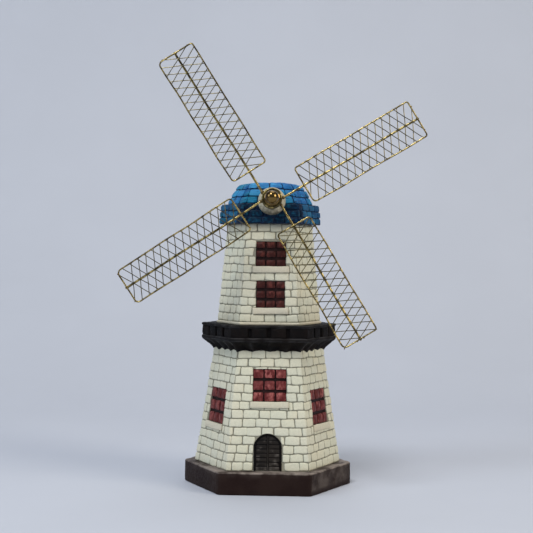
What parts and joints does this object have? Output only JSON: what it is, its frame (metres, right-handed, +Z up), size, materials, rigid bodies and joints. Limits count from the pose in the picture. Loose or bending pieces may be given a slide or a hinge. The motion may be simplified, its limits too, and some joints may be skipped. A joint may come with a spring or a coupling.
{
  "type": "windmill ornament",
  "caption": "Table-top windmill ornament: a hexagonal brick tower with windows, door, gallery and tiled cap, and a freely spinning rotor with wire lattice sails.",
  "frame": {"origin": "middle of the plinth's underside, on the surface it stands on, on the tower's axis", "axes": "+Z up along the tower, -Y towards the rotor and the door, +X to the right of someone who faces the door"},
  "size_m": [0.1932, 0.101, 0.2822],
  "materials": {
    "cream_paint": "matt cream paint on cast resin, dark wash in the joints",
    "blue_paint": "satin blue paint on cast resin, navy wash in the joints",
    "black_paint": "matt near-black paint, rubbed grey on its edges",
    "brown_paint": "matt dark brown paint, rubbed paler along the top edge",
    "red_paint": "dry-brushed crimson paint",
    "maroon_paint": "matt dark maroon paint",
    "charcoal_paint": "matt charcoal paint, scuffed grey",
    "ivory_paint": "satin ivory paint on cast resin",
    "brass": "bright pale brass, slightly tarnished at the solder"
  },
  "bodies": {
    "tower": {"bearing_boss": "ivory_paint", "bearing_bush": "brass", "cap_roof": "blue_paint", "cap_skirt": "blue_paint", "door": "charcoal_paint", "gallery_boards": "black_paint", "gallery_bottom_rail": "black_paint", "gallery_brackets": "black_paint", "gallery_core": "black_paint", "gallery_top_rail": "black_paint", "lower_front_sill": "cream_paint", "lower_front_window_grid": "maroon_paint", "lower_front_window_panes": "red_paint", "lower_left_sill": "cream_paint", "lower_left_window_grid": "maroon_paint", "lower_left_window_panes": "red_paint", "lower_right_sill": "cream_paint", "lower_right_window_grid": "maroon_paint", "lower_right_window_panes": "red_paint", "lower_tower": "cream_paint", "plinth": "brown_paint", "upper_high_sill": "cream_paint", "upper_high_window_grid": "maroon_paint", "upper_high_window_panes": "red_paint", "upper_low_sill": "cream_paint", "upper_low_window_grid": "maroon_paint", "upper_low_window_panes": "red_paint", "upper_tower": "cream_paint"},
    "rotor": {"ball_nut": "brass", "front_washer": "brass", "hub": "brass", "hub_spacer": "brass", "rear_nut": "brass", "rear_washer": "brass", "sail_1_frame": "brass", "sail_1_mesh": "brass", "sail_1_rod": "brass", "sail_2_frame": "brass", "sail_2_mesh": "brass", "sail_2_rod": "brass", "sail_3_frame": "brass", "sail_3_mesh": "brass", "sail_3_rod": "brass", "sail_4_frame": "brass", "sail_4_mesh": "brass", "sail_4_rod": "brass", "windshaft": "brass"}
  },
  "joints": [
    {"name": "rotor_spin", "type": "hinge", "parent": "tower", "child": "rotor", "pos_m": [0.0009, -0.042, 0.1846], "axis": [0, -0.9976, 0.0698], "continuous": true}
  ]
}
